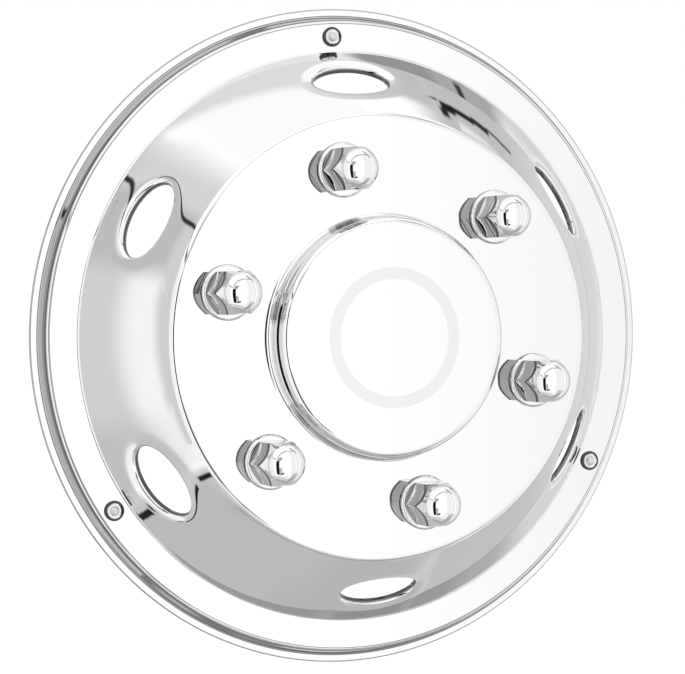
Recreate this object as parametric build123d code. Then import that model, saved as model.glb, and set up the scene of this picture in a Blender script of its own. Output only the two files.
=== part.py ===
from build123d import *
import math
import os

# Truck wheel simulator: a polished stainless cover for the front wheel of a light truck.
# Millimetres. The wheel's axis is Y, the cover faces -Y and +Z is up.
# The origin is on the axis, in the plane where the cover's hemmed edge sits on the rim.

# Pressed liner
sheet = 1.0                 # stainless sheet
cover_r = 217.9             # outer edge
hem_width = 4.5             # edge folded back flat on itself
lip_width = 5.6             # outer edge to the foot of the step
step_run = 3.2              # slope of the step
flange_rise = 9.0           # lip to flange
flange_width = 20.4         # step to the foot of the wall
face_rise = 55.3            # flange to face
face_room = 14.725          # nut retainers to the wall's top corner
hub_room = 15.425           # nut retainers to the foot of the drawn hub dome
hub_draft = 0.25            # taper of the dome's side
hub_rise = 17.5             # face to the dome's top
step_foot_radius = 1.5
flange_edge_radius = 3.0
wall_foot_radius = 2.5
shoulder_radius = 5.5
hub_foot_radius = 3.5
hub_edge_radius = 5.0

# Oval vents with turned-in lips
vent_count = 6
vent_start_deg = 93.3
vent_seat = 0.4504          # vent centres, as a share of the wall from its foot
vent_length = 59.0          # across the rolled edge, round the wall
vent_width = 35.0           # across the rolled edge, up the wall
vent_roll_radius = 3.5      # front surface of the rolled edge
vent_lip_depth = 5.0        # front surface of the wall to the lip's end

# Domed nut covers on the stud circle
stud_circle_d = 222.25
stud_count = 6
stud_start_deg = 105.0
stud_bore_r = 10.6          # clear room for the end of a wheel stud
nut_flats = 27.0
nut_turn_deg = 3.0          # turn of the flats out of the horizontal
nut_flange_d = 35.6
nut_flange_thick = 3.0
nut_flange_chamfer = 0.7
nut_corner_height = 21.5    # face to the start of the cone on the corners
nut_dome_height = 28.7      # face to the start of the dome
nut_dome_r = 12.8
nut_dome_flatness = 0.52    # height of the dome's ellipse over its half width
nut_dome_wall = 1.8         # start of the dome to the bore's shoulder
bore_point_deg = 15.0       # drill point at the bore's end
nut_neck_r = 12.2
nut_neck_length = 7.0       # behind the face's front surface
neck_clearance = 0.25       # neck in its hole in the face

# Toothed push-on rings behind the face
retainer_r = 18.0
retainer_thick = 0.8
retainer_grip_clearance = 0.08
retainer_teeth = 8
retainer_slot_width = 1.6
retainer_slot_depth = 3.0

# Rivets and the spring clips that they hold behind the flange
clip_count = 3
clip_start_deg = 94.0
rivet_inset = 10.5          # edge of the flange to the rivets
rivet_head_d = 13.2
rivet_head_height = 3.2
rivet_head_rim = 0.7        # upright edge of the head
rivet_shank_r = 2.4
rivet_crown_bulge = 0.26    # rise of the head's rounding over a straight cone
rivet_eye_r = 2.4           # mouth of the drawn-in pin
rivet_eye_depth = 0.8
rivet_tail_r = 4.4
rivet_tail_tip_r = 2.6
rivet_tail_length = 3.6
rivet_clearance = 0.12
clip_thick = 0.9
clip_width = 24.0
clip_base_length = 13.0     # on the back of the flange, centred on the rivet
clip_bend_radius = 1.6
clip_arm_length = 17.0      # base to the knee that presses on the rim
clip_arm_splay = 2.6        # knee outside the base's end
clip_toe_length = 9.0       # knee to the guiding toe
clip_toe_run = 4.5
clip_knee_radius = 2.5
clip_corner_radius = 3.0

# Heights are measured forwards from the rim plane
lip_front = 2 * sheet
flange_front = lip_front + flange_rise
face_front = flange_front + face_rise
hub_front = face_front + hub_rise
flange_back = flange_front - sheet
face_back = face_front - sheet

# Radii of the liner's corners, and the circles that its parts sit on
stud_circle_r = stud_circle_d / 2
step_foot_r = cover_r - lip_width
step_top_r = step_foot_r - step_run
rivet_circle_r = step_top_r - rivet_inset
wall_foot_r = step_top_r - flange_width
wall_top_r = stud_circle_r + retainer_r + face_room
wall_run = wall_foot_r - wall_top_r
wall_slope = math.atan2(face_rise, wall_run)
vent_circle_r = wall_foot_r - vent_seat * wall_run
hub_r = stud_circle_r - retainer_r - hub_room
hub_top_r = hub_r - hub_draft
edge_tolerance = sheet / 10

# The nut's dome is part of an ellipse that runs on smoothly from the cone on the corners
nut_corner_r = nut_flats / math.sqrt(3)
nut_cone_slope = (nut_corner_r - nut_dome_r) / (nut_dome_height - nut_corner_height)
nut_dome_turn = math.atan(1 / (nut_cone_slope * nut_dome_flatness))
nut_dome_half_width = nut_dome_r / math.sin(nut_dome_turn)
nut_dome_rise = nut_dome_flatness * nut_dome_half_width
nut_dome_seat = nut_dome_height - nut_dome_rise * math.cos(nut_dome_turn)
nut_height = nut_dome_seat + nut_dome_rise


def at(radius, height):
    """Point of the half section: radius from the axis, height forwards of the rim plane."""
    return (radius, -height)


def place(radius, angle_deg, height):
    """Plane square to the axis at a polar place, with its normal pointing forwards."""
    angle = math.radians(angle_deg)
    origin = (radius * math.cos(angle), -height, radius * math.sin(angle))
    return Plane(origin=origin, x_dir=(1, 0, 0), z_dir=(0, -1, 0))


def angles(count, start_deg):
    """Even spacing round the axis."""
    return [start_deg + 360.0 * k / count for k in range(count)]


def cylinder_at(plane, radius, low, high):
    """Round bar on a plane's normal, between two heights above it."""
    return plane * Pos(0, 0, low) * extrude(Circle(radius), high - low)


def liner_blank():
    """Spun form of the sheet, before it is pierced."""
    front = FilletPolyline(
        at(cover_r - sheet, lip_front),
        at(step_foot_r, lip_front),
        at(step_top_r, flange_front),
        at(wall_foot_r, flange_front),
        at(wall_top_r, face_front),
        at(hub_r, face_front),
        at(hub_top_r, hub_front),
        at(0, hub_front),
        radius=[
            step_foot_radius,
            flange_edge_radius,
            wall_foot_radius,
            shoulder_radius,
            hub_foot_radius,
            hub_edge_radius,
        ],
    )
    section = make_face(offset(front, sheet, side=Side.RIGHT))
    hem = Pos(*at(cover_r - (hem_width + sheet) / 2, sheet)) * Rectangle(hem_width - sheet, 2 * sheet)
    bead = Pos(*at(cover_r - sheet, sheet)) * Circle(sheet)
    return revolve(section + hem + bead, Axis.Y)


def wall_depth_ring():
    """The conical wall, thickened backwards to the depth of the vents' lips."""
    along = Vector(*at(wall_top_r, face_front)) - Vector(*at(wall_foot_r, flange_front))
    inwards = Vector(-along.Y, along.X).normalized() * vent_lip_depth
    if inwards.X > 0:
        inwards = inwards * -1
    foot = Vector(*at(wall_foot_r, flange_front))
    top = Vector(*at(wall_top_r, face_front))
    return revolve(make_face(Polyline(foot, top, top + inwards, foot + inwards, close=True)), Axis.Y)


def vent_plane(angle_deg):
    """Plane on the wall's front surface at a vent's centre, with x round the wall."""
    angle = math.radians(angle_deg)
    height = flange_front + (wall_foot_r - vent_circle_r) * math.tan(wall_slope)
    outwards = Vector(math.cos(angle), 0, math.sin(angle))
    normal = outwards * math.sin(wall_slope) + Vector(0, -1, 0) * math.cos(wall_slope)
    origin = outwards * vent_circle_r + Vector(0, -height, 0)
    return Plane(origin=origin, x_dir=(-math.sin(angle), 0, math.cos(angle)), z_dir=normal)


def vent_bar(plane, wall):
    """Oval bar through the wall, larger than the vent's clear opening by a wall all round."""
    half_length = vent_length / 2 - vent_roll_radius + wall
    half_width = vent_width / 2 - vent_roll_radius + wall
    reach = 2 * vent_lip_depth
    return plane * Pos(0, 0, -reach) * extrude(Ellipse(half_length, half_width), 2 * reach)


def wall_depth(point):
    """Depth of a point behind the front surface of the conical wall."""
    radius = math.hypot(point.X, point.Z)
    height = -point.Y
    return (wall_foot_r - radius) * math.sin(wall_slope) - (height - flange_front) * math.cos(wall_slope)


def vent_edges(part, depth):
    """Closed edges round the vents at a depth behind the wall's front surface."""
    found = []
    for edge in part.edges().filter_by(GeomType.BSPLINE):
        if abs(wall_depth(edge @ 0) - depth) < edge_tolerance:
            found.append(edge)
    return found


def add_vents(part):
    """Pierces the wall and turns the edges of the ovals inwards."""
    ring = wall_depth_ring()
    for angle_deg in angles(vent_count, vent_start_deg):
        part = part + (vent_bar(vent_plane(angle_deg), sheet) & ring)
    for angle_deg in angles(vent_count, vent_start_deg):
        part = part - vent_bar(vent_plane(angle_deg), 0)
    part = fillet(vent_edges(part, sheet), vent_roll_radius - sheet)
    return fillet(vent_edges(part, 0), vent_roll_radius)


def wheel_liner():
    """Pressed sheet with its vents, nut holes and rivet holes."""
    part = add_vents(liner_blank())
    for angle_deg in angles(stud_count, stud_start_deg):
        plane = place(stud_circle_r, angle_deg, face_back)
        part = part - cylinder_at(plane, nut_neck_r + neck_clearance, -sheet, 2 * sheet)
    for angle_deg in angles(clip_count, clip_start_deg):
        plane = place(rivet_circle_r, angle_deg, flange_back)
        part = part - cylinder_at(plane, rivet_shank_r + rivet_clearance, -sheet, 2 * sheet)
    return part


def nut_turning():
    """Spun outline that the hexagon is cut to: cone on the corners, then a dome."""
    cone_foot_r = nut_dome_r + nut_cone_slope * nut_dome_height
    cone = Polyline(
        (0, 0), (cone_foot_r, 0), (nut_dome_r, nut_dome_height), (0, nut_dome_height), close=True
    )
    oval = Pos(0, nut_dome_seat) * Ellipse(nut_dome_half_width, nut_dome_rise)
    window = Rectangle(nut_dome_half_width, nut_height - nut_dome_height, align=(Align.MIN, Align.MIN))
    dome = oval & Pos(0, nut_dome_height) * window
    return revolve(Plane.XZ * make_face(cone), Axis.Z) + revolve(Plane.XZ * dome, Axis.Z)


def nut_bore():
    """Room for the stud's end, with a drill point, open to the back."""
    mouth = -nut_neck_length
    shoulder = nut_dome_height - nut_dome_wall
    point = shoulder + stud_bore_r * math.tan(math.radians(bore_point_deg))
    outline = Polyline(
        (0, mouth), (stud_bore_r, mouth), (stud_bore_r, shoulder), (0, point), close=True
    )
    return revolve(Plane.XZ * make_face(outline), Axis.Z)


def nut_cover():
    """Hollow nut cover on its own plane, with its flange's back at height zero."""
    hexagon = Rot(0, 0, nut_turn_deg) * RegularPolygon(nut_flats / 2, 6, major_radius=False)
    body = extrude(hexagon, nut_height) & nut_turning()
    flange = extrude(Circle(nut_flange_d / 2), nut_flange_thick)
    rim = flange.edges().filter_by(GeomType.CIRCLE).sort_by(Axis.Z)[-1]
    flange = chamfer(rim, nut_flange_chamfer)
    neck = Pos(0, 0, -nut_neck_length) * extrude(Circle(nut_neck_r), nut_neck_length)
    return body + flange + neck - nut_bore()


def nut_retainer():
    """Push-on ring on its own plane: its front lies at height zero, on the back of the face."""
    eye_r = nut_neck_r + retainer_grip_clearance
    ring = Circle(retainer_r) - Circle(eye_r)
    slot_length = 2 * retainer_slot_depth
    slot = Pos(eye_r, 0) * Rectangle(slot_length, retainer_slot_width)
    for angle_deg in angles(retainer_teeth, 0):
        ring = ring - Rot(0, 0, angle_deg) * slot
    return Pos(0, 0, -retainer_thick) * extrude(ring, retainer_thick)


def clip_rivet():
    """Set blind rivet on its own plane: the head's seat lies at height zero."""
    head_r = rivet_head_d / 2
    grip = sheet + clip_thick
    crown = SagittaArc((head_r, rivet_head_rim), (rivet_eye_r, rivet_head_height), -rivet_crown_bulge)
    rest = Polyline(
        (rivet_eye_r, rivet_head_height),
        (rivet_eye_r - rivet_eye_depth / 2, rivet_head_height - rivet_eye_depth),
        (0, rivet_head_height - rivet_eye_depth),
        (0, -grip - rivet_tail_length),
        (rivet_tail_tip_r, -grip - rivet_tail_length),
        (rivet_tail_r, -grip - rivet_tail_length / 2),
        (rivet_tail_r, -grip),
        (rivet_shank_r, -grip),
        (rivet_shank_r, 0),
        (head_r, 0),
        (head_r, rivet_head_rim),
    )
    return revolve(Plane.XZ * make_face(crown + rest), Axis.Z)


def rim_clip():
    """Bent spring strip in the half section: x is the radius, y runs backwards."""
    inner = rivet_circle_r - clip_base_length / 2
    outer = rivet_circle_r + clip_base_length / 2
    knee_r = outer + clip_arm_splay
    seat = -flange_back
    path = FilletPolyline(
        (inner, seat),
        (outer, seat),
        (knee_r, seat + clip_arm_length),
        (knee_r - clip_toe_run, seat + clip_arm_length + clip_toe_length),
        radius=[clip_bend_radius + clip_thick, clip_knee_radius + clip_thick],
    )
    section = make_face(offset(path, clip_thick, side=Side.LEFT))
    strip = Pos(0, 0, -clip_width / 2) * extrude(section, clip_width)
    corners = strip.edges().filter_by(Axis.Y).sort_by(Axis.X)[:2]
    strip = fillet(corners, clip_corner_radius)
    hole_plane = Plane(origin=(rivet_circle_r, seat, 0), x_dir=(1, 0, 0), z_dir=(0, -1, 0))
    return strip - cylinder_at(hole_plane, rivet_shank_r + rivet_clearance, -2 * clip_thick, clip_thick)


def save(part, name):
    """Writes one piece under its own name."""
    part.label = name
    export_step(part, os.path.join("parts", name + ".step"))


os.makedirs("parts", exist_ok=True)
save(wheel_liner(), "wheel_liner")

cover = nut_cover()
retainer = nut_retainer()
for number, angle_deg in enumerate(angles(stud_count, stud_start_deg), start=1):
    save(place(stud_circle_r, angle_deg, face_front) * cover, f"lug_nut_cover_{number}")
    save(place(stud_circle_r, angle_deg, face_back) * retainer, f"nut_retainer_{number}")

rivet = clip_rivet()
clip = rim_clip()
for number, angle_deg in enumerate(angles(clip_count, clip_start_deg), start=1):
    save(place(rivet_circle_r, angle_deg, flange_front) * rivet, f"clip_rivet_{number}")
    save(Rot(0, -angle_deg, 0) * clip, f"rim_clip_{number}")
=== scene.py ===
import functools
import logging
import math
from collections.abc import Callable
from dataclasses import dataclass, field
from enum import Enum

import bmesh
import bpy
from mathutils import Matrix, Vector


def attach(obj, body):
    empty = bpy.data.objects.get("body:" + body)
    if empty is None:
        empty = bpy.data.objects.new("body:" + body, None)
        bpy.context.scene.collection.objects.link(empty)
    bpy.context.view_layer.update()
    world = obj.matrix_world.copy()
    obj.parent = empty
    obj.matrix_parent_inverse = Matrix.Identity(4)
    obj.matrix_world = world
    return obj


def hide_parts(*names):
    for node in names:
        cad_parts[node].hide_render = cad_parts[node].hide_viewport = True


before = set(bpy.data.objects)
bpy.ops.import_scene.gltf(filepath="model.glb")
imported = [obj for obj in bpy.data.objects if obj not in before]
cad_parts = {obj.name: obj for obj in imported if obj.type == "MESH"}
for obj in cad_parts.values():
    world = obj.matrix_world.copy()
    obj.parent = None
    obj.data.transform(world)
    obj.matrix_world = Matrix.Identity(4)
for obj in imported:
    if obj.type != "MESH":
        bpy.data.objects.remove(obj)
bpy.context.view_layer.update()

LOG = logging.getLogger("wheel_cover")
MM = 0.001
WELD = 0.01 * MM

Point = tuple[float, float, float]
Section = tuple[float, float]
Plan = tuple[float, float]
Socket = bpy.types.NodeSocket
Source = Socket | float | tuple[float, ...]
Material = bpy.types.Material
Shape = bpy.types.Object


class Stand(Enum):
    """How the copies in a circle pattern stand."""

    UPRIGHT = 0.0
    TURNED = 1.0


@dataclass(frozen=True)
class Circle:
    """Copies round the wheel's axis: how many, where the first one is, their radius and how they stand."""

    count: int
    start_deg: float
    radius: float
    stand: Stand = Stand.UPRIGHT


NUT_CIRCLE = Circle(6, 105.0, 111.125)
RIVET_CIRCLE = Circle(3, 94.0, 198.6)


def spaced(low: float, high: float, steps: int) -> list[float]:
    """Evenly spaced values from low to high, both included."""
    return [low + (high - low) * k / steps for k in range(steps + 1)]


def polar(radius: float, angle_deg: float, height: float) -> Point:
    """Point at a radius and angle round the wheel's axis, at a height forwards of the rim plane."""
    angle = math.radians(angle_deg)
    return (radius * math.cos(angle), -height, radius * math.sin(angle))


def linear(grey: float) -> float:
    """Linear light of a display grey between 0 and 255."""
    share = grey / 255.0
    if share <= 0.04045:
        return share / 12.92
    return ((share + 0.055) / 1.055) ** 2.4


def linked(name: str, data: bpy.types.ID) -> Shape:
    """Makes an object of some data and links it to the scene."""
    thing = bpy.data.objects.new(name, data)
    bpy.context.scene.collection.objects.link(thing)
    return thing


class MeshDraft:
    """Points and faces of one shape, gathered in millimetres."""

    def __init__(self) -> None:
        """Starts with no points."""
        self.points: list[Point] = []
        self.faces: list[tuple[int, ...]] = []

    def row(self, points: list[Point]) -> list[int]:
        """Adds points and gives their numbers."""
        first = len(self.points)
        self.points.extend(points)
        return list(range(first, first + len(points)))

    def strip(self, near: list[int], far: list[int]) -> None:
        """Joins two open rows of one length with quads."""
        self.faces.extend(zip(near, near[1:], far[1:], far))

    def bridge(self, near: list[int], far: list[int]) -> None:
        """Joins two closed rows of one length with quads."""
        self.strip(near + near[:1], far + far[:1])

    def skin(self, rows: list[list[int]]) -> list[int]:
        """Joins closed rows in turn and gives the last one."""
        for near, far in zip(rows, rows[1:]):
            self.bridge(near, far)
        return rows[-1]

    def fan(self, row: list[int], tip: Point) -> None:
        """Closes a closed row with triangles to a tip."""
        peak = self.row([tip])[0]
        for number, following in zip(row, row[1:] + row[:1]):
            self.faces.append((number, following, peak))

    def to_object(self, name: str) -> Shape:
        """Makes a Blender object in metres."""
        mesh = bpy.data.meshes.new(name)
        mesh.from_pydata([tuple(c * MM for c in p) for p in self.points], [], self.faces)
        return linked(name, mesh)


def close_and_smooth(mesh: bpy.types.Mesh, crease_deg: float) -> None:
    """Welds a mesh, turns its faces outwards and shades it smooth up to a crease angle."""
    work = bmesh.new()
    work.from_mesh(mesh)
    bmesh.ops.remove_doubles(work, verts=work.verts, dist=WELD)
    bmesh.ops.recalc_face_normals(work, faces=work.faces)
    work.to_mesh(mesh)
    work.free()
    mesh.polygons.foreach_set("use_smooth", [True] * len(mesh.polygons))
    mesh.set_sharp_from_angle(angle=math.radians(crease_deg))


class NodeBench:
    """Short calls for adding and joining the nodes of one tree."""

    def __init__(self, tree: bpy.types.NodeTree) -> None:
        """Works on one tree."""
        self.tree = tree

    @classmethod
    def on(cls, owner: Material | bpy.types.World) -> "NodeBench":
        """Bench on the emptied tree of a material or world."""
        owner.use_nodes = True
        owner.node_tree.nodes.clear()
        return cls(owner.node_tree)

    @classmethod
    def of_group(cls, name: str, inputs: tuple[str, ...], output: str) -> "NodeBench":
        """Bench on a new shader node group that makes one number out of others."""
        tree = bpy.data.node_groups.new(name, "ShaderNodeTree")
        for label in inputs:
            tree.interface.new_socket(name=label, in_out="INPUT", socket_type="NodeSocketFloat")
        tree.interface.new_socket(name=output, in_out="OUTPUT", socket_type="NodeSocketFloat")
        return cls(tree)

    def add(self, kind: str, inputs: dict[str | int, Source] | None = None, **settings: object) -> bpy.types.Node:
        """Adds a node.

        Args:
            kind: Blender's name of the node's class.
            inputs: Sockets to link or values to set, by the input's name or number.
            **settings: Properties of the node.

        Returns:
            The new node.
        """
        node = self.tree.nodes.new(kind)
        for name, value in settings.items():
            setattr(node, name, value)
        for key, source in (inputs or {}).items():
            if isinstance(source, Socket):
                self.tree.links.new(source, node.inputs[key])
            else:
                node.inputs[key].default_value = source
        return node

    def math(self, operation: str, *inputs: Source) -> Socket:
        """Result of a Math node."""
        return self.add("ShaderNodeMath", dict(enumerate(inputs)), operation=operation).outputs[0]

    def times(self, *factors: Source) -> Socket:
        """Product of some numbers."""
        return functools.reduce(functools.partial(self.math, "MULTIPLY"), factors)

    def minus(self, first: Source, second: Source) -> Socket:
        """First number less the second."""
        return self.math("SUBTRACT", first, second)

    def length(self, first: Source, second: Source) -> Socket:
        """Length of a flat vector from its two parts."""
        squares = (self.math("POWER", part, 2.0) for part in (first, second))
        return self.math("SQRT", self.math("ADD", *squares))

    def blend(self, share: Source, first: Source, second: Source) -> Socket:
        """Mix of two numbers, by the share of the second one."""
        return self.add("ShaderNodeMix", {0: share, 2: first, 3: second}, data_type="FLOAT").outputs[0]

    def ramp(self, value: Source, low: Source, high: Source, start: float = 0.0, end: float = 1.0) -> Socket:
        """Soft step of a value.

        Args:
            value: Value that is stepped.
            low: Where the step begins.
            high: Where the step ends.
            start: Result below the step.
            end: Result above the step.

        Returns:
            The result's socket.
        """
        span = {"Value": value, "From Min": low, "From Max": high, "To Min": start, "To Max": end}
        return self.add("ShaderNodeMapRange", span, interpolation_type="SMOOTHSTEP").outputs["Result"]

    def over(self, value: Source, size: float, soft: float) -> Socket:
        """Mask of where a socket in metres is over a size in millimetres, with a soft edge."""
        return self.ramp(value, (size - soft) * MM, (size + soft) * MM)

    def under(self, value: Source, size: float, soft: float) -> Socket:
        """Mask of where a socket in metres is under a size in millimetres, with a soft edge."""
        return self.ramp(value, (size - soft) * MM, (size + soft) * MM, 1.0, 0.0)

    def band(self, value: Source, low: float, high: float, soft: float) -> Socket:
        """Mask of where a socket in metres is between two sizes in millimetres, with soft edges."""
        return self.times(self.over(value, low, soft), self.under(value, high, soft))

    def toned_and_shaded(self, tone: float, zones: list[tuple[Socket, float]]) -> Socket:
        """Grey that is darker in some zones, which hold a part's own tone and painted shade.

        Args:
            tone: Grey outside the zones.
            zones: Mask and share of the tone that is left, for each zone.

        Returns:
            Socket of the grey.
        """
        return self.times(tone, *(self.blend(mask, 1.0, share) for mask, share in zones))

    def spot(self) -> Socket:
        """Object coordinate."""
        return self.add("ShaderNodeTexCoord").outputs["Object"]

    def parts(self, way: Socket) -> dict[str, Socket]:
        """Parts of a vector, by X, Y and Z."""
        return dict(self.add("ShaderNodeSeparateXYZ", {0: way}).outputs.items())

    def bump(self, height: Socket, reach: float) -> Socket:
        """Normal of a bump whose full height is a reach in millimetres."""
        return self.add("ShaderNodeBump", {"Strength": 1.0, "Distance": reach * MM, "Height": height}).outputs[0]


class CirclePattern:
    """Geometry Nodes tree that repeats one shape round the wheel's axis."""

    INPUTS = (
        ("Geometry", "NodeSocketGeometry"),
        ("Count", "NodeSocketInt"),
        ("Start", "NodeSocketFloat"),
        ("Circle radius", "NodeSocketFloat"),
        ("Turn", "NodeSocketFloat"),
        ("Weld", "NodeSocketFloat"),
        ("Finish", "NodeSocketMaterial"),
    )

    def __init__(self) -> None:
        """Builds the tree: points on the circle, copies on the points, one welded mesh."""
        self.tree = bpy.data.node_groups.new("circle_pattern", "GeometryNodeTree")
        for name, kind in self.INPUTS:
            self.tree.interface.new_socket(name=name, in_out="INPUT", socket_type=kind)
        self.tree.interface.new_socket(name="Geometry", in_out="OUTPUT", socket_type="NodeSocketGeometry")
        bench = NodeBench(self.tree)
        given = bench.add("NodeGroupInput").outputs
        step = bench.math("DIVIDE", 2.0 * math.pi, given["Count"])
        index = bench.add("GeometryNodeInputIndex").outputs[0]
        angle = bench.math("ADD", given["Start"], bench.times(index, step))
        across, up = (bench.times(given["Circle radius"], bench.math(part, angle)) for part in ("COSINE", "SINE"))
        spot = bench.add("ShaderNodeCombineXYZ", {"X": across, "Z": up}).outputs[0]
        lean = bench.add("ShaderNodeCombineXYZ", {"Y": bench.times(angle, given["Turn"], -1.0)}).outputs[0]
        turn = bench.add("FunctionNodeEulerToRotation", {0: lean}).outputs[0]
        points = bench.add("GeometryNodePoints", {"Count": given["Count"], "Position": spot}).outputs[0]
        made = {"Points": points, "Instance": given["Geometry"], "Rotation": turn}
        copies = bench.add("GeometryNodeInstanceOnPoints", made).outputs[0]
        whole = bench.add("GeometryNodeRealizeInstances", {0: copies}).outputs[0]
        weld = bench.add("GeometryNodeMergeByDistance", {"Geometry": whole, "Distance": given["Weld"]}).outputs[0]
        dress = bench.add("GeometryNodeSetMaterial", {"Geometry": weld, "Material": given["Finish"]}).outputs[0]
        bench.add("NodeGroupOutput", {0: dress})

    def repeat(self, shape: Shape, name: str, circle: Circle, finish: Material, crease_deg: float) -> Shape:
        """Repeats a shape and leaves one plain mesh in its stead.

        Args:
            shape: The shape to repeat, which is removed.
            name: Name of the finished piece.
            circle: Where the copies stand.
            finish: Material of the piece.
            crease_deg: Edges that bend more than this stay sharp.

        Returns:
            The finished piece, at the origin.
        """
        values = {
            "Count": circle.count,
            "Start": math.radians(circle.start_deg),
            "Circle radius": circle.radius * MM,
            "Turn": circle.stand.value,
            "Weld": WELD,
            "Finish": finish,
        }
        modifier = shape.modifiers.new("pattern", "NODES")
        modifier.node_group = self.tree
        for item in self.tree.interface.items_tree:
            if item.in_out == "INPUT" and item.name in values:
                modifier[item.identifier] = values[item.name]
        graph = bpy.context.evaluated_depsgraph_get()
        mesh = bpy.data.meshes.new_from_object(shape.evaluated_get(graph), depsgraph=graph)
        bpy.data.objects.remove(shape)
        mesh.name = name
        close_and_smooth(mesh, crease_deg)
        return linked(name, mesh)


class PolishGroups:
    """Shader node groups that the metal finishes share."""

    HAZE_DETAIL = 4.0
    HAZE_SPAN = (0.35, 0.75)

    def __init__(self) -> None:
        """Builds the groups once."""
        self.haze = self._haze()
        self.axis = self._axis()

    def _haze(self) -> bpy.types.NodeTree:
        """Fine polishing haze of a given scale."""
        bench = NodeBench.of_group("polish_haze", ("Scale",), "Haze")
        scale = bench.add("NodeGroupInput").outputs["Scale"]
        grain = {"Vector": bench.spot(), "Scale": scale, "Detail": self.HAZE_DETAIL}
        fine = bench.add("ShaderNodeTexNoise", grain).outputs["Fac"]
        bench.add("NodeGroupOutput", {0: bench.ramp(fine, *self.HAZE_SPAN)})
        return bench.tree

    def _axis(self) -> bpy.types.NodeTree:
        """Distance to the axis of the nearest fastener on a circle, in metres and radians."""
        bench = NodeBench.of_group("fastener_axis", ("Circle radius", "Start", "Half step"), "Distance")
        given = bench.add("NodeGroupInput").outputs
        part = bench.parts(bench.spot())
        radius = bench.length(part["X"], part["Z"])
        bearing = bench.minus(bench.math("ARCTAN2", part["Z"], part["X"]), given["Start"])
        folded = bench.math("WRAP", bearing, given["Half step"], bench.times(given["Half step"], -1.0))
        along = bench.minus(bench.times(radius, bench.math("COSINE", folded)), given["Circle radius"])
        across = bench.times(radius, bench.math("SINE", folded))
        bench.add("NodeGroupOutput", {0: bench.length(along, across)})
        return bench.tree

    def from_axis(self, bench: NodeBench, circle: Circle) -> Socket:
        """Distance in metres to the nearest fastener's axis, in the tree of a material."""
        place = {
            "Circle radius": circle.radius * MM,
            "Start": math.radians(circle.start_deg),
            "Half step": math.pi / circle.count,
        }
        return bench.add("ShaderNodeGroup", place, node_tree=self.axis).outputs[0]


@dataclass(frozen=True)
class MetalFinish:
    """One metal finish: its name, its tone, its roughness and the scale of its polishing haze."""

    name: str
    tone: float
    roughness: tuple[float, float]
    haze_scale: float

    def make(self, groups: PolishGroups) -> Material:
        """Makes the material with the shared haze and the finish's own sources."""
        material = bpy.data.materials.new(self.name)
        bench = NodeBench.on(material)
        haze = bench.add("ShaderNodeGroup", {"Scale": self.haze_scale}, node_tree=groups.haze).outputs[0]
        polish = bench.blend(haze, *self.roughness)
        sources = {"Metallic": 1.0, "Roughness": polish} | self.sources(bench, groups, haze, polish)
        shader = bench.add("ShaderNodeBsdfPrincipled", sources).outputs[0]
        bench.add("ShaderNodeOutputMaterial", {"Surface": shader})
        return material

    def sources(self, bench: NodeBench, groups: PolishGroups, haze: Socket, polish: Socket) -> dict[str, Socket]:
        """Adds what sets this finish apart.

        Args:
            bench: Bench of the material's tree.
            groups: Shared shader node groups.
            haze: Socket of the haze.
            polish: Socket of the plain roughness.

        Returns:
            Sockets for the shader's inputs, by name.
        """
        raise NotImplementedError


@dataclass(frozen=True)
class SpringFinish(MetalFinish):
    """Rolled spring steel: a little blue, dimmed by its haze and faintly wavy."""

    blue_tone: float = 0.57
    hazed_share: float = 0.975
    wave_scale: float = 80.0
    wave_detail: float = 1.0
    wave_height: float = 0.03

    def sources(self, bench: NodeBench, groups: PolishGroups, haze: Socket, polish: Socket) -> dict[str, Socket]:
        """Adds the tone and the wave."""
        clear = (self.tone, self.tone, self.blue_tone)
        hazed = tuple(self.hazed_share * part for part in clear)
        mix = {"Factor": haze, "A": (*clear, 1.0), "B": (*hazed, 1.0)}
        wave = {"Vector": bench.spot(), "Scale": self.wave_scale, "Detail": self.wave_detail}
        height = bench.add("ShaderNodeTexNoise", wave).outputs["Fac"]
        return {
            "Base Color": bench.add("ShaderNodeMix", mix, data_type="RGBA").outputs["Result"],
            "Normal": bench.bump(height, self.wave_height),
        }


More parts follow.
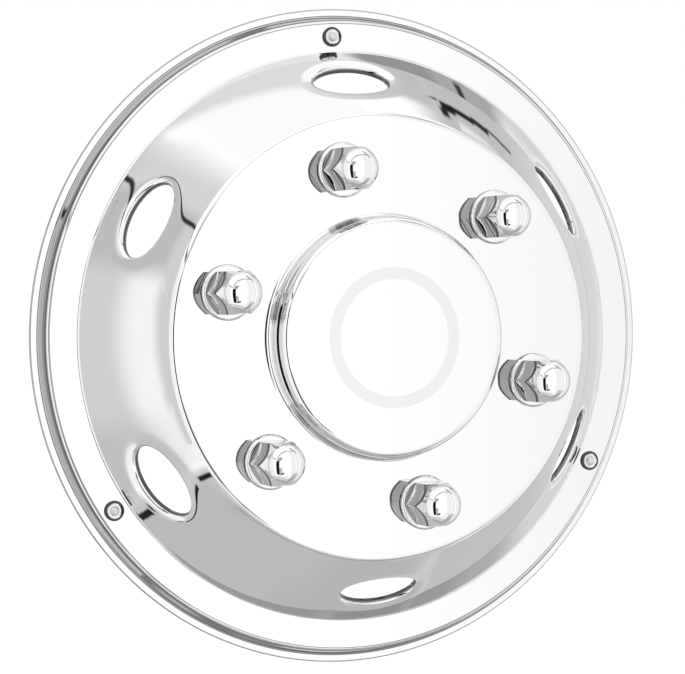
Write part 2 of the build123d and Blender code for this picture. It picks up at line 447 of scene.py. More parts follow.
@dataclass(frozen=True)
class LinerFinish(MetalFinish):
    """Mirror-polished sheet with a satin ring on the hub, and painted shade on the vents' lips, the step, the hemmed
    edge and the fold lines.
    """

    liner: "WheelLiner"
    ring: Section = (37.5, 45.2)
    ring_level: float = 83.0
    ring_soft: float = 0.35
    ring_tone: float = 0.92
    ring_roughness: float = 0.22
    # Painted shade: the vents' lips are darkened where the sheet sinks behind the wall's front.
    lip_shade_depths: Section = (1.0, 1.7)
    lip_shade_inset: float = 1.0
    lip_shade_tone: float = 0.26
    # Painted shade: the step between the lip and the flange is darkened.
    step_shade_band: Section = (208.9, 212.7)
    step_shade_levels: Section = (2.0, 10.5)
    step_shade_tone: float = 0.6
    # Painted shade: a dark outline on the outer half of the hemmed edge.
    edge_shade_from: float = 216.9
    edge_shade_tone: float = 0.55
    zone_soft: float = 0.2
    # Painted shade: dark lines along the folds of the rim.
    fold_shade_lines: tuple[Section, ...] = ((212.75, 213.4), (209.45, 209.95), (207.1, 207.6))
    fold_shade_tone: float = 0.25
    line_soft: float = 0.1

    def sources(self, bench: NodeBench, groups: PolishGroups, haze: Socket, polish: Socket) -> dict[str, Socket]:
        """Adds the satin ring and the painted shade of the other zones."""
        part = bench.parts(bench.spot())
        radius = bench.length(part["X"], part["Z"])
        height = bench.times(part["Y"], -1.0)
        in_front = bench.math("GREATER_THAN", height, self.ring_level * MM)
        ring = bench.times(bench.band(radius, *self.ring, self.ring_soft), in_front)
        inwards = bench.minus(self.liner.wall_foot * MM, radius)
        forwards = bench.minus(height, self.liner.flange_front * MM)
        sunk = bench.minus(bench.times(inwards, self.liner.lean[0]), bench.times(forwards, self.liner.lean[1]))
        # Painted shade of the vents' lips, by how far the sheet sinks behind the wall.
        lip_shade = bench.ramp(sunk, *(depth * MM for depth in self.lip_shade_depths))
        wall = bench.band(radius, self.liner.wall_top + self.lip_shade_inset, self.liner.wall_foot, self.line_soft)
        step = bench.band(radius, *self.step_shade_band, self.zone_soft)
        # The satin ring is the sheet's own tone; the lip, step, edge and fold zones are painted shade.
        zones = [
            (ring, self.ring_tone),
            (bench.times(lip_shade, wall), self.lip_shade_tone),
            (bench.times(step, bench.band(height, *self.step_shade_levels, self.zone_soft)), self.step_shade_tone),
            (bench.over(radius, self.edge_shade_from, self.zone_soft), self.edge_shade_tone),
        ]
        zones += [(bench.band(radius, *line, self.line_soft), self.fold_shade_tone) for line in self.fold_shade_lines]
        return {
            "Base Color": bench.toned_and_shaded(self.tone, zones),
            "Roughness": bench.blend(ring, polish, self.ring_roughness),
        }


@dataclass(frozen=True)
class NutFinish(MetalFinish):
    """Bright plating with faint drawing lines on the flats, and painted shade along the flats' ends and round the
    flange's rim.
    """

    dome_r: float = 12.8
    dome_level: float = 95.0
    cone_run: float = 0.387
    cone_inset: float = 0.3
    # Painted shade: dark lines along the top and the foot of the flats, and round the flange's rim.
    upper_shade_edge: Section = (0.2, 3.8)
    upper_shade_tone: float = 0.2
    foot_shade_edge: Section = (69.6, 71.8)
    foot_shade_tone: float = 0.3
    rim_shade_r: float = 17.55
    rim_shade_tone: float = 0.3
    edge_soft: float = 0.1
    line_span: Section = (69.6, 88.0)
    line_soft: float = 0.8
    line_height: float = 0.1
    line_detail: float = 2.0
    lines_per_metre: float = 150.0

    def sources(self, bench: NodeBench, groups: PolishGroups, haze: Socket, polish: Socket) -> dict[str, Socket]:
        """Adds the painted shade of the edges and the drawing lines."""
        height = bench.times(bench.parts(bench.spot())["Y"], -1.0)
        drawn = {"W": height, "Scale": self.lines_per_metre, "Detail": self.line_detail}
        lines = bench.add("ShaderNodeTexNoise", drawn, noise_dimensions="1D").outputs["Fac"]
        away = groups.from_axis(bench, NUT_CIRCLE)
        fall = bench.math("DIVIDE", bench.minus(away, self.dome_r * MM), self.cone_run)
        under_cone = bench.minus(bench.minus(self.dome_level * MM, fall), height)
        outside = bench.over(away, self.dome_r + self.cone_inset, self.edge_soft)
        # Every zone here is painted shade.
        zones = [
            (bench.times(bench.band(under_cone, *self.upper_shade_edge, self.edge_soft), outside), self.upper_shade_tone),
            (bench.times(bench.band(height, *self.foot_shade_edge, self.edge_soft), outside), self.foot_shade_tone),
            (bench.over(away, self.rim_shade_r, self.edge_soft), self.rim_shade_tone),
        ]
        on_flats = bench.band(height, *self.line_span, self.line_soft)
        return {
            "Base Color": bench.toned_and_shaded(self.tone, zones),
            "Normal": bench.bump(bench.times(lines, on_flats), self.line_height),
        }


@dataclass(frozen=True)
class RivetFinish(MetalFinish):
    """Rivet metal with a satin pin and a painted dark ring of shade round the head."""

    pin_r: float = 3.1
    pin_roughness: float = 0.42
    # Painted shade: a dark ring round the head, outside the inner radius, with the ring's tone.
    shade_ring_inner: float = 4.9
    ring_tone: float = 0.1
    soft: float = 0.25

    def sources(self, bench: NodeBench, groups: PolishGroups, haze: Socket, polish: Socket) -> dict[str, Socket]:
        """Adds the satin pin and the painted shade ring."""
        away = groups.from_axis(bench, RIVET_CIRCLE)
        # The ring is painted shade round the head.
        ring = bench.over(away, self.shade_ring_inner, self.soft)
        pin = bench.under(away, self.pin_r, self.soft)
        return {
            "Base Color": bench.toned_and_shaded(self.tone, [(ring, self.ring_tone)]),
            "Roughness": bench.blend(pin, polish, self.pin_roughness),
        }


@dataclass(frozen=True)
class Block:
    """Rows and columns of the liner's grid that a hole's rings take the place of."""

    first_row: int
    last_row: int
    first_column: int
    last_column: int

    def holds(self, row: int, column: int) -> bool:
        """Whether the cell from this row and column to the next ones is in the block."""
        return self.first_row <= row < self.last_row and self.first_column <= column < self.last_column

    def loop(self) -> list[tuple[int, int]]:
        """Rows and columns of the block's edge, once round."""
        along = [(self.first_row, c) for c in range(self.first_column, self.last_column)]
        along += [(r, self.last_column) for r in range(self.first_row, self.last_row)]
        along += [(self.last_row, c) for c in range(self.last_column, self.first_column, -1)]
        along += [(r, self.first_column) for r in range(self.last_row, self.first_row, -1)]
        return along


@dataclass
class WheelLiner:
    """The pressed and polished sheet, with a hemmed edge, lipped vents and nut holes.

    A depth is zero for the sheet's front and one sheet for its back. A loop is the point numbers of a block's edge.
    """

    sheet: float = 1.0
    cover_r: float = 217.9
    hem_width: float = 4.5
    hem_round: float = 0.3
    lip_width: float = 5.6
    step_run: float = 3.2
    flange_rise: float = 9.0
    flange_width: float = 20.4
    wall_run: float = 44.85
    face_rise: float = 55.3
    hub_r: float = 77.7
    hub_draft: float = 0.25
    hub_rise: float = 17.5
    fold_radii: tuple[float, ...] = (1.5, 3.0, 2.5, 5.5, 3.5, 5.0)
    wall_line: int = 3
    vent_count: int = 6
    vent_start: float = 93.3
    vent_circle_r: float = 168.5
    vent_length: float = 52.0
    vent_width: float = 28.0
    vent_lip_depth: float = 5.0
    vent_roll: float = 3.5
    vent_dish_reach: float = 10.0
    vent_dish_deg: float = 7.0
    wall_bulge: float = 0.6
    nut_hole_r: float = 12.45
    columns: int = 40
    wall_rows: int = 18
    face_rows: int = 14
    hub_rows: tuple[float, ...] = (60.0, 45.0, 30.0, 15.0)
    wall_block_half: float = 21.0
    face_block: tuple[float, float] = (-3.0, 27.0)
    face_block_r: tuple[float, float] = (133.0, 90.0)
    support: float = 0.6
    fold_step_deg: float = 6.5
    fold_steps_least: int = 6
    bead_steps: int = 8
    ring_steps: int = 6
    ring_ease: float = 1.6
    lift_rounds: int = 5
    roll_steps: int = 10
    dish_steps: int = 8
    crease_deg: float = 38.0
    draft: MeshDraft = field(default_factory=MeshDraft)

    def __post_init__(self) -> None:
        """Works out the corners of the half section and the plane of a vent."""
        self.lip_front = 2 * self.sheet
        self.flange_front = self.lip_front + self.flange_rise
        self.face_front = self.flange_front + self.face_rise
        self.hub_front = self.face_front + self.hub_rise
        step_foot = self.cover_r - self.lip_width
        step_top = step_foot - self.step_run
        self.wall_foot = step_top - self.flange_width
        self.wall_top = self.wall_foot - self.wall_run
        self.hem_end = self.cover_r - self.hem_width
        self.corners = [
            (self.cover_r - self.sheet, self.lip_front),
            (step_foot, self.lip_front),
            (step_top, self.flange_front),
            (self.wall_foot, self.flange_front),
            (self.wall_top, self.face_front),
            (self.hub_r, self.face_front),
            (self.hub_r - self.hub_draft, self.hub_front),
            (0.0, self.hub_front),
        ]
        slope = math.atan2(self.face_rise, self.wall_run)
        self.lean = (math.sin(slope), math.cos(slope))
        height = self.flange_front + (self.wall_foot - self.vent_circle_r) * math.tan(slope)
        self.vent_origin = Vector((self.vent_circle_r, -height, 0.0))
        self.vent_up = Vector((-self.lean[1], -self.lean[0], 0.0))
        self.vent_normal = Vector((self.lean[0], -self.lean[1], 0.0))
        foot_fold, top_fold = self.fold_radii[self.wall_line - 1:self.wall_line + 1]
        self.wall_from = foot_fold * math.tan(slope / 2)
        self.wall_to = math.hypot(self.face_rise, self.wall_run) - top_fold * math.tan(slope / 2)
        self.half_sector = 180.0 / self.vent_count
        self.angles = spaced(-self.half_sector, self.half_sector, self.columns)

    def wall_depth(self, radius: float, height: float) -> float:
        """Depth of a place behind the wall's front surface."""
        return (self.wall_foot - radius) * self.lean[0] - (height - self.flange_front) * self.lean[1]

    def bulge(self, radius: float, height: float) -> float:
        """How far the pressed wall stands proud of a true cone at a place; nothing at its folds."""
        seat = (self.wall_foot - radius) * self.lean[1] + (height - self.flange_front) * self.lean[0]
        share = max(0.0, min(1.0, (seat - self.wall_from) / (self.wall_to - self.wall_from)))
        return 4.0 * self.wall_bulge * share * (1.0 - share)

    def proud(self, point: Section) -> Section:
        """Moves a point of the wall's section out by the bulge."""
        out = self.bulge(*point)
        return (point[0] + out * self.lean[0], point[1] + out * self.lean[1])

    def on_wall(self, plan: Plan, surface: float, depth: float) -> Point:
        """Lifts a point of the vent's plane onto the wall.

        Args:
            plan: Place round and up the wall, from the vent's centre.
            surface: Depth of the surface that it is lifted to.
            depth: How far it then goes in, square to the vent's plane.

        Returns:
            The place in millimetres.
        """
        flat = self.vent_origin + Vector((0.0, 0.0, plan[0])) + self.vent_up * plan[1]
        lift = 0.0
        for _ in range(self.lift_rounds):
            tried = flat + self.vent_normal * lift
            lift += self.wall_depth(math.hypot(tried.x, tried.z), -tried.y) - surface
        flat += self.vent_normal * lift
        radius = math.hypot(flat.x, flat.z)
        normal = Vector((self.lean[0] * flat.x / radius, -self.lean[1], self.lean[0] * flat.z / radius))
        return tuple(flat + normal * self.bulge(radius, -flat.y) - self.vent_normal * depth)

    def wall_plan(self, point: Point) -> Plan:
        """Place of a point in the vent's plane."""
        offset = Vector(point) - self.vent_origin
        return (offset.z, offset.dot(self.vent_up))

    def section_runs(self, depth: float) -> list[list[Section]]:
        """Half section at a depth from the edge to the axis, as straight runs and folds in turn."""
        lines = []
        for start, end in zip(self.corners, self.corners[1:]):
            way = (Vector(end) - Vector(start)).normalized()
            back = Vector((-way.y, way.x))
            lines.append((Vector(start) + back * depth, way, back))
        runs: list[list[Section]] = []
        begin = lines[0][0]
        for k, radius in enumerate(self.fold_radii):
            (p, a, back), (q, b, _) = lines[k], lines[k + 1]
            cross = a.x * b.y - a.y * b.x
            corner = p + a * (((q - p).x * b.y - (q - p).y * b.x) / cross)
            side = Vector((-a.y, a.x)) * math.copysign(1.0, cross)
            bend = radius - depth if side.dot(back) > 0.0 else radius + depth
            turn = math.acos(max(-1.0, min(1.0, a.dot(b))))
            setback = bend * math.tan(turn / 2)
            enter = corner - a * setback
            centre = enter + side * bend
            runs.append(self.straight(begin, enter))
            steps = max(self.fold_steps_least, round(math.degrees(turn) / self.fold_step_deg))
            fold = []
            for t in spaced(0.0, turn, steps):
                fold.append(tuple(centre - side * (bend * math.cos(t)) + a * (bend * math.sin(t))))
            runs.append(fold)
            begin = corner + b * setback
        last, way, _ = lines[-1]
        runs.append(self.straight(begin, last + way * last.x))
        return runs

    def straight(self, start: Vector, end: Vector) -> list[Section]:
        """Straight run with support rows near its ends."""
        length = (end - start).length
        way = (end - start) / length
        inner = min(self.support, length / 4)
        return [tuple(start + way * s) for s in (0.0, inner, length - inner, length)]

    def side_rows(self, depth: float) -> tuple[list[Section], int, int]:
        """Rows of one side from the edge to the axis, and the first rows of the wall's and the face's blocks."""
        runs = self.section_runs(depth)
        wall_run, face_run = 2 * self.wall_line, 2 * self.wall_line + 2
        wall, face, hub = runs[wall_run], runs[face_run], runs[-1]
        low, high = Vector(wall[1]), Vector(wall[2])
        wall[1:3] = [self.proud(tuple(low + (high - low) * t)) for t in spaced(0.0, 1.0, self.wall_rows)]
        face[2:2] = [(r, face[0][1]) for r in spaced(*self.face_block_r, self.face_rows)]
        hub[2:] = [(r, hub[0][1]) for r in self.hub_rows]
        rows = list(runs[0])
        starts = [0]
        for run in runs[1:]:
            starts.append(len(rows))
            rows += run[1:]
        return rows, starts[wall_run] + 1, starts[face_run] + 1

    def grid(self, rows: list[Section], blocks: list[Block]) -> list[list[int]]:
        """Spins rows into a sector, leaves the blocks open and gives the point numbers by row and column."""
        numbers = self.spin(rows)
        for i in range(len(rows) - 1):
            for j in range(self.columns):
                if not any(block.holds(i, j) for block in blocks):
                    self.draft.strip(numbers[i][j:j + 2], numbers[i + 1][j:j + 2])
        return numbers

    def spin(self, rows: list[Section]) -> list[list[int]]:
        """Adds rows of the section at each of the sector's angles."""
        return [self.draft.row([polar(r, a, h) for a in self.angles]) for r, h in rows]

    def rings(self, loop: list[int], plans: list[Plan], aims: list[Plan], lift: Callable[[Plan], Point]) -> list[int]:
        """Fills the space between a loop and a hole with rings.

        Args:
            loop: Where the rings begin.
            plans: The loop's places in the hole's plane.
            aims: Places on the hole that they run to.
            lift: Gives the place in space of a plan point.

        Returns:
            Point numbers of the last ring.
        """
        rows = [loop]
        for t in spaced(0.0, 1.0, self.ring_steps)[1:]:
            share = 1.0 - (1.0 - t) ** self.ring_ease
            ring = [(u + (aim_u - u) * share, v + (aim_v - v) * share) for (u, v), (aim_u, aim_v) in zip(plans, aims)]
            rows.append(self.draft.row([lift(plan) for plan in ring]))
        return self.draft.skin(rows)

    def oval(self, bearing: float, reach: float) -> Plan:
        """Point of the vent's oval, widened by a reach."""
        return ((self.vent_length / 2 + reach) * math.cos(bearing), (self.vent_width / 2 + reach) * math.sin(bearing))

    def vent_side(self, loop: list[int], depth: float) -> list[int]:
        """Rings from the wall's block over the rolled edge to the end of the vent's lip; gives the last one."""
        roll = self.vent_roll
        reach = roll + self.vent_dish_reach
        lean = math.radians(self.vent_dish_deg)
        dish_end = roll * (1.0 - math.sin(lean))
        dish = math.tan(lean) * (reach - dish_end) / 3
        plans = [self.wall_plan(self.draft.points[n]) for n in loop]
        wide, high = self.oval(0.0, reach)[0], self.oval(math.pi / 2, reach)[1]
        bearings = [math.atan2(v / high, u / wide) for u, v in plans]
        aims = [self.oval(b, reach) for b in bearings]
        rows = [self.rings(loop, plans, aims, lambda plan: self.on_wall(plan, depth, 0.0))]
        turns = []
        for t in spaced(0.0, 1.0, self.dish_steps)[1:]:
            turns.append((reach + (dish_end - reach) * t, depth + dish * t ** 3))
        bend = roll - depth
        for t in spaced(lean, math.pi / 2, self.roll_steps)[1:]:
            turns.append((roll - bend * math.sin(t), dish + roll * math.cos(lean) - bend * math.cos(t)))
        turns.append((depth, self.vent_lip_depth))
        for out, fall in turns:
            rows.append(self.draft.row([self.on_wall(self.oval(b, out), 0.0, fall) for b in bearings]))
        return self.draft.skin(rows)

    def nut_side(self, loop: list[int], depth: float) -> list[int]:
        """Rings from the face's block to the nut hole; gives the last one."""
        x, y, z = polar(NUT_CIRCLE.radius, NUT_CIRCLE.start_deg - self.vent_start, self.face_front - depth)
        plans = [(self.draft.points[n][0] - x, self.draft.points[n][2] - z) for n in loop]
        aims = []
        for u, v in plans:
            scale = self.nut_hole_r / math.hypot(u, v)
            aims.append((u * scale, v * scale))
        return self.rings(loop, plans, aims, lambda plan: (x + plan[0], y, z + plan[1]))

    def side(self, depth: float) -> tuple[list[int], list[int], list[int]]:
        """One side of the sheet; gives the point numbers of its outer edge, the vent's lip and the nut hole."""
        rows, wall_row, face_row = self.side_rows(depth)
        step = 2 * self.half_sector / self.columns
        middle = self.columns // 2
        half = round(self.wall_block_half / step)
        wall = Block(wall_row, wall_row + self.wall_rows, middle - half, middle + half)
        low, high = (middle + round(a / step) for a in self.face_block)
        face = Block(face_row, face_row + self.face_rows, low, high)
        numbers = self.grid(rows, [wall, face])
        vent = self.vent_side([numbers[r][c] for r, c in wall.loop()], depth)
        nut = self.nut_side([numbers[r][c] for r, c in face.loop()], depth)
        peak = self.draft.row([(0.0, depth - self.hub_front, 0.0)])[0]
        for first, second in zip(numbers[-1], numbers[-1][1:]):
            self.draft.faces.append((first, second, peak))
        return numbers[0], vent, nut

    def edge(self, front: list[int], back: list[int]) -> None:
        """Rolls the hemmed edge from the front's first row to the back's."""
        bead_r = self.cover_r - self.sheet
        rows = []
        for t in spaced(0.0, math.pi, self.bead_steps)[1:]:
            rows.append((bead_r + self.sheet * math.sin(t), self.sheet + self.sheet * math.cos(t)))
        rows += [(self.hem_end + self.hem_round, 0.0), (self.hem_end, self.hem_round), (self.hem_end, self.sheet)]
        rings = [front, *self.spin(rows), back]
        for near, far in zip(rings, rings[1:]):
            self.draft.strip(near, far)

    def build(self, pattern: CirclePattern, finish: Material) -> Shape:
        """Builds one sector of the sheet and repeats it."""
        front, front_vent, front_nut = self.side(0.0)
        back, back_vent, back_nut = self.side(self.sheet)
        self.draft.bridge(front_vent, back_vent)
        self.draft.bridge(front_nut, back_nut)
        for number, angle in zip(back, self.angles):
            self.draft.points[number] = polar(self.hem_end, angle, -self.draft.points[number][1])
        self.edge(front, back)
        circle = Circle(self.vent_count, self.vent_start, 0.0, Stand.TURNED)
        return pattern.repeat(self.draft.to_object("liner_sector"), "Wheel_liner", circle, finish, self.crease_deg)


@dataclass
class NutCover:
    """Domed cover over a wheel nut, with a flange and a hollow for the stud's end."""

    seat_level: float
    sides: int = 6
    flats: float = 27.0
    turn: float = 3.0
    flange_r: float = 17.8
    flange_thick: float = 3.0
    flange_round: float = 2.1
    corner_height: float = 21.5
    dome_height: float = 28.7
    dome_r: float = 12.8
    dome_flatness: float = 0.52
    bore_r: float = 10.6
    bore_wall: float = 1.8
    bore_point: float = 15.0
    neck_r: float = 12.2
    neck_length: float = 7.0
    round_steps: int = 8
    side_steps: int = 16
    cone_steps: int = 3
    dome_steps: int = 16
    crease_deg: float = 16.0

    def hex_r(self, angle_deg: float) -> float:
        """Radius of the hexagon at an angle."""
        side = 360.0 / self.sides
        off = (angle_deg - self.turn) % side - side / 2
        return self.flats / 2 / math.cos(math.radians(off))

    def build(self, pattern: CirclePattern, finish: Material) -> Shape:
        """Builds one nut cover and repeats it."""
        steps = self.sides * self.side_steps
        angles = [self.turn + 360.0 * k / steps for k in range(steps)]
        corner_r = self.flats / math.sqrt(3)
        slope = (corner_r - self.dome_r) / (self.dome_height - self.corner_height)
        turn = math.atan(1.0 / (slope * self.dome_flatness))
        half_width = self.dome_r / math.sin(turn)
        rise = self.dome_flatness * half_width
        seat = self.dome_height - rise * math.cos(turn)
        shoulder = self.dome_height - self.bore_wall
        turned = [
            (self.bore_r, shoulder),
            (self.bore_r, -self.neck_length),
            (self.neck_r, -self.neck_length),
            (self.neck_r, 0.0),
            (self.flange_r, 0.0),
        ]
        edge_r, edge_level = self.flange_r - self.flange_round, self.flange_thick - self.flange_round
        for t in spaced(0.0, math.pi / 2, self.round_steps):
            turned.append((edge_r + self.flange_round * math.cos(t), edge_level + self.flange_round * math.sin(t)))
        rows: list[list[Section]] = [[point] * steps for point in turned]
        rows.append([(self.hex_r(a), self.flange_thick) for a in angles])
        for share in spaced(0.0, 1.0, self.cone_steps):
            radii = [self.hex_r(a) + (self.dome_r - self.hex_r(a)) * share for a in angles]
            rows.append([(r, self.dome_height - (r - self.dome_r) / slope) for r in radii])
        for t in spaced(turn, 0.0, self.dome_steps)[1:-1]:
            rows.append([(half_width * math.sin(t), seat + rise * math.cos(t))] * steps)
        draft = MeshDraft()
        rings = [draft.row([polar(r, a, self.seat_level + h) for (r, h), a in zip(row, angles)]) for row in rows]
        draft.skin(rings)
        point = shoulder + self.bore_r * math.tan(math.radians(self.bore_point))
        draft.fan(rings[0], polar(0.0, 0.0, self.seat_level + point))
        draft.fan(rings[-1], polar(0.0, 0.0, self.seat_level + seat + rise))
        return pattern.repeat(draft.to_object("nut_cover"), "Nut_covers", NUT_CIRCLE, finish, self.crease_deg)


@dataclass
class ClipRivet:
    """Set blind rivet with a rounded head and the end of its pin."""

    seat_level: float
    head_r: float = 6.6
    head_height: float = 3.2
    head_rim: float = 0.7
    pin_r: float = 3.0
    pin_foot: float = 1.7
    groove_run: float = 0.2
    groove_r: float = 4.3
    groove_height: float = 1.35
    ring_r: float = 5.4
    ring_height: float = 1.75
    shank_r: float = 2.4
    grip: float = 1.9
    tail_r: float = 4.4
    tail_tip_r: float = 2.6
    tail_length: float = 3.6
    pin_steps: int = 8
    ring_steps: int = 6
    steps: int = 48
    crease_deg: float = 30.0

    def section(self) -> list[Section]:
        """Half section from the pin's end over the head to the tail."""
        rise = self.head_height - self.pin_foot
        rows = []
        for t in spaced(0.0, math.pi / 2, self.pin_steps)[1:]:
            rows.append((self.pin_r * math.sin(t), self.pin_foot + rise * math.cos(t)))
        rows += [(self.pin_r + self.groove_run, self.groove_height), (self.groove_r, self.groove_height)]
        run, rise = self.ring_r - self.groove_r, self.ring_height - self.groove_height
        for t in spaced(0.0, math.pi, self.ring_steps)[1:]:
            share = (1.0 - math.cos(t)) / 2
            rows.append((self.groove_r + run * share, self.groove_height + rise * share))
        run, rise = self.head_r - self.ring_r, self.ring_height - self.head_rim
        for t in spaced(0.0, math.pi / 2, self.ring_steps)[1:]:
            rows.append((self.ring_r + run * math.sin(t), self.head_rim + rise * math.cos(t)))
        rows += [(self.head_r, 0.0), (self.shank_r, 0.0), (self.shank_r, -self.grip), (self.tail_r, -self.grip)]
        rows += [(self.tail_r, -self.grip - self.tail_length / 2), (self.tail_tip_r, -self.grip - self.tail_length)]
        return rows

    def build(self, pattern: CirclePattern, finish: Material) -> Shape:
        """Builds one rivet and repeats it."""
        draft = MeshDraft()
        angles = [360.0 * k / self.steps for k in range(self.steps)]
        rows = self.section()
        rings = [draft.row([polar(r, a, self.seat_level + h) for a in angles]) for r, h in rows]
        draft.skin(rings)
        for end in (0, -1):
            draft.fan(rings[end], polar(0.0, 0.0, self.seat_level + rows[end][1]))
        return pattern.repeat(draft.to_object("clip_rivet"), "Clip_rivets", RIVET_CIRCLE, finish, self.crease_deg)


@dataclass(frozen=True)
class Card:
    """One panel of the tent, or a seam between panels: its place in degrees, its edge and its grey."""

    name: str
    azimuth: float
    half_width: float
    low: float
    high: float
    soft: float
    grey: float
    tilt: float = 0.0


@dataclass
class Tent:
    """Soft white tent round the object, as the world's light.

    A panel's grey is the tone that it shows in the polished sheet, which sends back only a share of the light.
    """

    MASK_INPUTS = ("Azimuth", "Elevation", "Middle", "Half width", "Low", "High", "Soft", "Tilt")

    mirror_share: float = 0.75
    front_level: float = 1.02
    ceiling_edge: Point = (-0.187, 0.958, 0.219)
    ceiling_edge_offset: float = 0.362
    ceiling_edge_soft: float = 0.014
    ceiling_back_from: tuple[float, float] = (45.0, 48.0)
    ceiling_back_span: tuple[float, float] = (50.0, 72.0)
    ceiling_back_greys: tuple[float, float] = (189.0, 219.0)
    cards: tuple[Card, ...] = (
        Card("front right", 35.0, 9.0, -47.0, 38.0, 5.0, 241.0),
        Card("right near strip", 50.5, 3.5, -45.0, 30.0, 2.0, 231.0),
        Card("front right low", 52.0, 14.0, -49.0, -26.0, 5.0, 190.0),
        Card("front right lowest", 52.0, 14.0, -49.0, -37.0, 4.0, 170.0),
        Card("right side", 80.0, 18.0, -45.0, 45.0, 5.0, 236.0),
        Card("right back", 140.0, 50.0, -60.0, 50.0, 6.0, 188.0),
        Card("right back middle", 140.0, 50.0, -18.0, 24.0, 8.0, 206.0),
        Card("left front", -62.0, 22.5, -45.0, 24.0, 2.0, 243.0),
        Card("left back", -133.0, 48.5, -60.0, 60.0, 2.0, 207.0),
        Card("left pale strip", -115.0, 5.5, -45.0, 45.0, 2.0, 240.0),
        Card("left dark strip", -132.0, 12.0, -50.0, 50.0, 1.8, 170.0),
        Card("left upper shade", -98.0, 22.0, 20.0, 50.0, 5.0, 188.0),
        Card("left lower shade", -106.0, 21.0, -48.0, -26.0, 6.0, 190.0),
        Card("left edge line", -79.5, 1.2, -38.0, 38.0, 0.7, 206.0),
        Card("left upper panel", -86.0, 9.0, 43.0, 64.0, 3.0, 211.0),
        Card("left top glow", -95.0, 30.0, 59.0, 95.0, 8.0, 253.0),
        Card("ground", 0.0, 200.0, -95.0, -47.0, 2.0, 207.0),
        Card("ground right", 48.0, 14.0, -64.0, -47.0, 3.0, 160.0),
        Card("ground at the back", 180.0, 100.0, -95.0, -50.0, 4.0, 187.0),
        Card("ground far right", 142.0, 33.0, -77.0, -52.0, 7.0, 180.0),
        Card("ground near", 0.0, 85.0, -85.0, -64.0, 4.0, 165.0),
        Card("ceiling", 0.0, 200.0, 68.0, 95.0, 2.0, 250.0),
        Card("ceiling band left", -16.5, 9.5, 29.5, 35.5, 1.0, 165.0, 0.79),
        Card("ceiling band front", 4.0, 11.0, 39.5, 45.0, 1.0, 165.0, 0.18),
        Card("ceiling band right", 38.0, 23.0, 38.5, 43.5, 1.0, 175.0, -0.2),
        Card("ceiling corner", 53.0, 7.0, 40.0, 60.0, 3.0, 165.0),
        Card("right pale strip", 117.6, 1.2, 30.0, 41.0, 0.6, 226.0),
        Card("right seam", 119.2, 0.8, 43.2, 45.4, 0.5, 38.0),
        Card("right far seam high", 121.2, 0.22, 45.0, 47.6, 0.25, 60.0),
        Card("right far seam wide", 120.4, 0.8, 41.0, 44.6, 0.35, 34.0),
        Card("right far seam", 120.65, 0.5, 36.3, 41.4, 0.3, 40.0),
        Card("right far seam low", 120.95, 0.5, 32.6, 36.8, 0.3, 50.0),
        Card("right far seam end", 121.4, 0.22, 27.0, 33.0, 0.25, 70.0),
        Card("right corner band", 54.5, 4.0, 28.0, 42.0, 2.5, 186.0),
        Card("right corner sliver", 55.5, 2.0, 35.9, 37.4, 0.4, 70.0),
        Card("left seam near", -41.0, 14.0, 20.8, 23.2, 0.7, 70.0, -0.36),
        Card("left seam far", -65.0, 10.0, 30.4, 32.6, 0.7, 100.0, -0.45),
        Card("left wall seam", -86.0, 11.0, 40.9, 42.5, 0.5, 52.0, -0.43),
        Card("left ground gap", -93.5, 6.5, -53.5, -51.5, 0.4, 38.0, 0.1),
        Card("left ground seam", -81.3, 2.2, -51.2, -49.2, 0.5, 38.0),
        Card("floor edge", -8.0, 14.0, -46.5, -44.5, 0.6, 160.0),
        Card("floor edge right", 14.0, 9.0, -42.0, -40.0, 0.6, 165.0, 0.47),
        Card("corner shade", -14.5, 7.5, 11.0, 23.0, 2.0, 176.0),
        Card("corner shade low", -9.0, 6.0, -31.0, -11.0, 2.0, 182.0),
        Card("corner gap", -20.5, 7.0, -38.0, 11.5, 0.8, 22.0),
        Card("corner gap top", -7.5, 5.5, 15.0, 18.0, 0.8, 60.0, 0.6),
        Card("corner gap foot", -3.0, 8.0, -35.0, -29.0, 0.8, 40.0, 0.4),
    )

    def card_mask(self) -> bpy.types.NodeTree:
        """Group that masks one panel by its bearing and height, in degrees."""
        bench = NodeBench.of_group("card_mask", self.MASK_INPUTS, "Mask")
        given = bench.add("NodeGroupInput").outputs

        def rim(value: Socket, name: str, start: float, end: float) -> Socket:
            """Soft step of a value at one of the panel's edges."""
            low, high = (bench.math(way, given[name], given["Soft"]) for way in ("SUBTRACT", "ADD"))
            return bench.ramp(value, low, high, start, end)

        away = bench.math("WRAP", bench.minus(given["Azimuth"], given["Middle"]), 180.0, -180.0)
        up = bench.minus(given["Elevation"], bench.times(away, given["Tilt"]))
        beside = rim(bench.math("ABSOLUTE", away), "Half width", 1.0, 0.0)
        mask = bench.times(beside, rim(up, "Low", 0.0, 1.0), rim(up, "High", 1.0, 0.0))
        bench.add("NodeGroupOutput", {0: mask})
        return bench.tree

    def light(self, grey: float) -> float:
        """Light of a panel that shows a grey in the polished sheet."""
        return linear(grey) / self.mirror_share

    def behind_ceiling(self, bench: NodeBench, way: Socket, elevation: Socket, level: Socket) -> Socket:
        """Darkens the light so far behind the ceiling's straight back edge, by the way and its height in degrees."""
        edge = {0: way, 1: self.ceiling_edge}
        across = bench.add("ShaderNodeVectorMath", edge, operation="DOT_PRODUCT").outputs["Value"]
        near, far = (self.ceiling_edge_offset + k * self.ceiling_edge_soft for k in (-1, 1))
        mask = bench.times(bench.ramp(across, near, far), bench.ramp(elevation, *self.ceiling_back_from))
        low, high = map(self.light, self.ceiling_back_greys)
        return bench.blend(mask, level, bench.ramp(elevation, *self.ceiling_back_span, low, high))

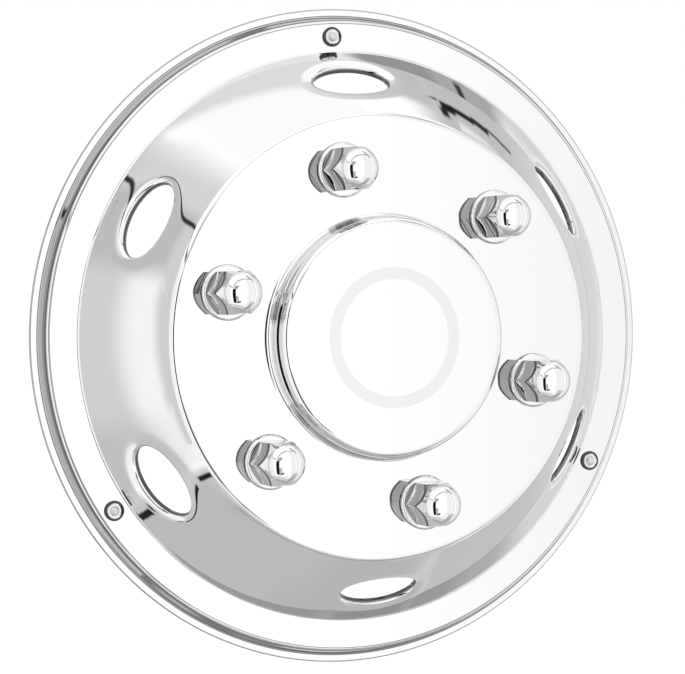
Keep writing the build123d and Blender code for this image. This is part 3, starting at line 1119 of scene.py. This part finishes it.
    def build(self) -> None:
        """Builds the world: panels for light and reflections, plain white for the camera."""
        world = bpy.data.worlds.new("tent")
        bpy.context.scene.world = world
        bench = NodeBench.on(world)
        way = bench.add("ShaderNodeTexCoord").outputs["Generated"]
        part = bench.parts(way)
        azimuth = bench.math("DEGREES", bench.math("ARCTAN2", part["X"], bench.times(part["Y"], -1.0)))
        elevation = bench.math("DEGREES", bench.math("ARCSINE", part["Z"]))
        group = self.card_mask()
        level: Source = self.front_level / self.mirror_share
        for card in self.cards:
            place = (azimuth, elevation, card.azimuth, card.half_width, card.low, card.high, card.soft, card.tilt)
            inputs = dict(zip(self.MASK_INPUTS, place))
            mask = bench.add("ShaderNodeGroup", inputs, node_tree=group, label=card.name).outputs[0]
            level = bench.blend(mask, level, self.light(card.grey))
        level = self.behind_ceiling(bench, way, elevation, level)
        tent = bench.add("ShaderNodeBackground", {"Color": level}).outputs[0]
        paper = bench.add("ShaderNodeBackground", {"Color": (1.0, 1.0, 1.0, 1.0)}).outputs[0]
        seen = bench.add("ShaderNodeLightPath").outputs["Is Camera Ray"]
        both = bench.add("ShaderNodeMixShader", {0: seen, 1: tent, 2: paper}).outputs[0]
        bench.add("ShaderNodeOutputWorld", {"Surface": both})


@dataclass
class Studio:
    """Camera and floor."""

    camera_place: Point = (-654.0, -1578.5, 24.6)
    camera_aim: Point = (-6.38, -11.3, -0.51)
    camera_reach: float = 50.0
    lens: float = 134.27
    sensor: float = 36.0
    floor_level: float = -217.9
    floor_half: float = 4000.0
    floor_grey: float = 0.3
    floor_glow: float = 0.85

    def add_camera(self) -> None:
        """Adds the camera at the photograph's angle."""
        data = bpy.data.cameras.new("camera")
        data.lens = self.lens
        data.sensor_width = self.sensor
        data.sensor_fit = "HORIZONTAL"
        data.clip_end = self.camera_reach
        camera = linked("camera", data)
        place = Vector(self.camera_place) * MM
        camera.location = place
        camera.rotation_euler = (Vector(self.camera_aim) * MM - place).to_track_quat("-Z", "Y").to_euler()
        bpy.context.scene.camera = camera

    def floor_finish(self) -> Material:
        """White floor that keeps a soft shadow."""
        material = bpy.data.materials.new("floor_paper")
        bench = NodeBench.on(material)
        grey = (self.floor_grey, self.floor_grey, self.floor_grey, 1.0)
        paper = bench.add("ShaderNodeBsdfDiffuse", {"Color": grey}).outputs[0]
        seen = bench.add("ShaderNodeLightPath").outputs["Is Camera Ray"]
        glow = bench.add("ShaderNodeEmission", {"Strength": bench.times(seen, self.floor_glow)}).outputs[0]
        both = bench.add("ShaderNodeAddShader", {0: paper, 1: glow}).outputs[0]
        bench.add("ShaderNodeOutputMaterial", {"Surface": both})
        return material

    def add_floor(self) -> Shape:
        """Adds the floor that the cover stands on."""
        half = self.floor_half
        draft = MeshDraft()
        corners = ((-half, -half), (half, -half), (half, half), (-half, half))
        draft.faces.append(tuple(draft.row([(x, y, self.floor_level) for x, y in corners])))
        floor = draft.to_object("Floor")
        floor.data.materials.append(self.floor_finish())
        floor.visible_glossy = False
        return floor


def hand_over(piece: Shape, nodes: list[str]) -> None:
    """Ties a finished piece to the frame, hides the CAD nodes that it stands for and logs its faces."""
    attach(piece, "root")
    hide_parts(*nodes)
    LOG.info("%s: %d faces, stands for %d nodes", piece.name, len(piece.data.polygons), len(nodes))


def dress_node(name: str, finish: Material) -> None:
    """Gives a carried-over CAD node its finish."""
    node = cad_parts[name]
    node.data.materials.clear()
    node.data.materials.append(finish)
    LOG.info("%s: keeps its solid, finish %s", name, finish.name)


def numbered(stem: str, circle: Circle) -> list[str]:
    """Names of the CAD nodes on a circle."""
    return [f"{stem}_{k}" for k in range(1, circle.count + 1)]


def main() -> None:
    """Builds the cover, its tent, camera and floor, and reports each piece."""
    logging.basicConfig(level=logging.INFO, format="%(name)s: %(message)s")
    bpy.context.scene.view_settings.view_transform = "Standard"
    studio = Studio()
    studio.add_camera()
    Tent().build()
    studio.add_floor()

    groups = PolishGroups()
    pattern = CirclePattern()
    liner = WheelLiner()
    nut = NutCover(liner.face_front)
    rivet = ClipRivet(liner.flange_front)
    mirror = LinerFinish("mirror_stainless", 0.75, (0.01, 0.02), 260.0, liner).make(groups)
    bright = NutFinish("bright_nut", 0.74, (0.01, 0.025), 300.0).make(groups)
    plated = RivetFinish("rivet_metal", 0.66, (0.04, 0.08), 400.0).make(groups)
    spring = SpringFinish("spring_steel", 0.56, (0.22, 0.34), 420.0).make(groups)

    hand_over(liner.build(pattern, mirror), ["wheel_liner"])
    hand_over(nut.build(pattern, bright), numbered("lug_nut_cover", NUT_CIRCLE))
    hand_over(rivet.build(pattern, plated), numbered("clip_rivet", RIVET_CIRCLE))
    for name in numbered("nut_retainer", NUT_CIRCLE) + numbered("rim_clip", RIVET_CIRCLE):
        dress_node(name, spring)


if __name__ == "__main__":
    main()
